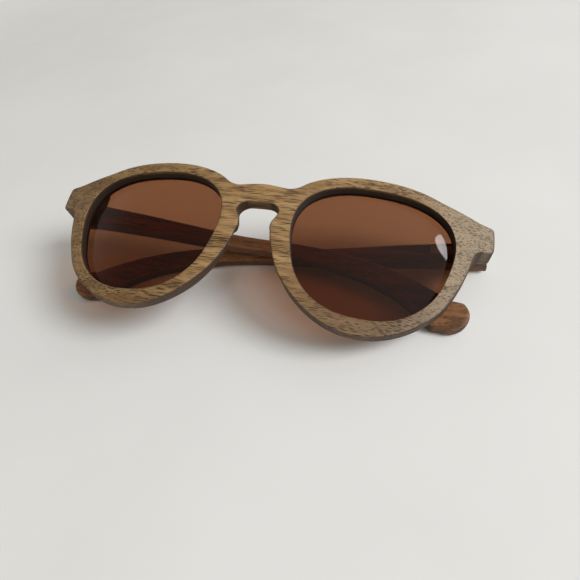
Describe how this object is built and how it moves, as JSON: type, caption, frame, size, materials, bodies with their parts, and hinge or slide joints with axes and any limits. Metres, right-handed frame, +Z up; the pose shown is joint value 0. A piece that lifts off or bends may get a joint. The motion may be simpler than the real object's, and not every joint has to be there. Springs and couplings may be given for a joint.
{
  "type": "wooden sunglasses",
  "caption": "Wooden sunglasses with round tinted lenses, a keyhole bridge and sprung hinges, lying folded with one temple over the other.",
  "frame": {"origin": "middle of the footprint of the folded part, on the table", "axes": "+X to the right as seen from the lens side with the brow away, +Y towards the brow, +Z up from the table"},
  "size_m": [0.147, 0.052, 0.0372],
  "materials": {
    "front_wood": "oiled, open grained, tan walnut",
    "temple_wood": "oiled, open grained, red brown walnut",
    "tinted_glass": "brown tint, glossy",
    "hinge_steel": "satin"
  },
  "bodies": {
    "front": {"front_frame": "front_wood", "lens_left": "tinted_glass", "lens_right": "tinted_glass", "leaf_left": "hinge_steel", "leaf_right": "hinge_steel", "leaf_screw_left_a": "hinge_steel", "leaf_screw_left_b": "hinge_steel", "leaf_screw_right_a": "hinge_steel", "leaf_screw_right_b": "hinge_steel", "pin_left": "hinge_steel", "pin_right": "hinge_steel"},
    "slider_left": {"plunger_left": "hinge_steel", "nut_left": "hinge_steel", "spring_left": "hinge_steel"},
    "slider_right": {"plunger_right": "hinge_steel", "nut_right": "hinge_steel", "spring_right": "hinge_steel"},
    "arm_left": {"temple_left": "temple_wood", "box_left": "hinge_steel", "box_screw_left": "hinge_steel"},
    "arm_right": {"temple_right": "temple_wood", "box_right": "hinge_steel", "box_screw_right": "hinge_steel"}
  },
  "joints": [
    {"name": "fold_left", "type": "hinge", "parent": "front", "child": "slider_left", "pos_m": [-0.07036, 0.01892, 0.01869], "axis": [0.0304, 0.9495, 0.3124], "range_deg": [0, 88.8]},
    {"name": "flex_left", "type": "slide", "parent": "slider_left", "child": "arm_left", "axis": [0.9932, 0.0066, -0.1166], "range_m": [0, 0.0012], "stiffness_N_per_m": 2000, "springref_m": -0.001, "deforming": ["spring_left"]},
    {"name": "fold_right", "type": "hinge", "parent": "front", "child": "slider_right", "pos_m": [0.06987, 0.01892, 0.00504], "axis": [-0.0304, -0.9495, -0.3124], "range_deg": [0, 83.6]},
    {"name": "flex_right", "type": "slide", "parent": "slider_right", "child": "arm_right", "axis": [-0.9993, 0.035, -0.0091], "range_m": [0, 0.0012], "stiffness_N_per_m": 2000, "springref_m": -0.001, "deforming": ["spring_right"]}
  ]
}
